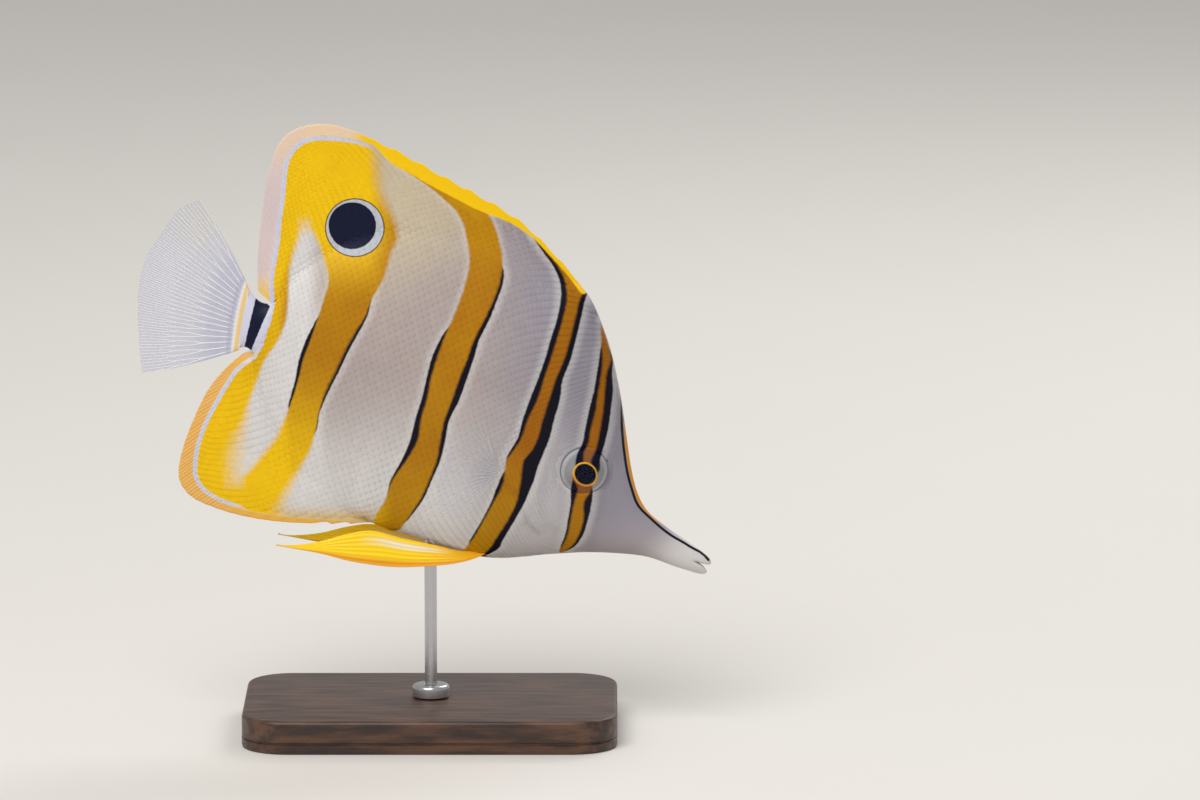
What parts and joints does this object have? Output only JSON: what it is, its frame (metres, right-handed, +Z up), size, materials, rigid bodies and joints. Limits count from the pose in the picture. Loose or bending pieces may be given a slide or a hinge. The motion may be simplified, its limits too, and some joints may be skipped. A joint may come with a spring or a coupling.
{
  "type": "copperband butterflyfish display model",
  "caption": "Life-size still model of a copperband butterflyfish, nose down as if feeding, held by one rod on a flat base.",
  "frame": {"origin": "centre of the stand base's underside, where it rests on the floor", "axes": "+Z up, +X towards the fish's snout, +Y towards its left side, so the side that the picture shows faces -Y; the fish is pitched nose down by 25 degrees about Y"},
  "size_m": [0.1377, 0.058, 0.1478],
  "materials": {
    "skin": "silvery white scaled skin with upright orange bands edged in black, satin with a wet sheen",
    "fin_yellow": "bright yellow fin skin with fine rays, a lilac line inside a pale margin, satin",
    "fin_clear": "nearly clear fin skin between fine white rays",
    "eye": "dark blue pupil with a golden rim in a silvery iris under a clear, polished dome",
    "stand_wood": "dark walnut, oiled, with a small bevel",
    "stand_steel": "brushed stainless steel"
  },
  "bodies": {
    "root": {"upper_jaw": "skin", "lower_jaw": "skin", "snout": "skin", "head": "skin", "eye_left": "eye", "eye_right": "eye", "trunk": "skin", "tail_base": "skin", "dorsal_fin_spiny": "fin_yellow", "dorsal_fin_soft": "fin_yellow", "anal_fin": "fin_yellow", "tail_fin": "fin_clear", "pectoral_fin_left": "fin_clear", "pectoral_fin_right": "fin_clear", "pelvic_fin_left": "fin_yellow", "pelvic_fin_right": "fin_yellow", "stand_base": "stand_wood", "stand_collar": "stand_steel", "stand_rod": "stand_steel"}
  },
  "joints": []
}
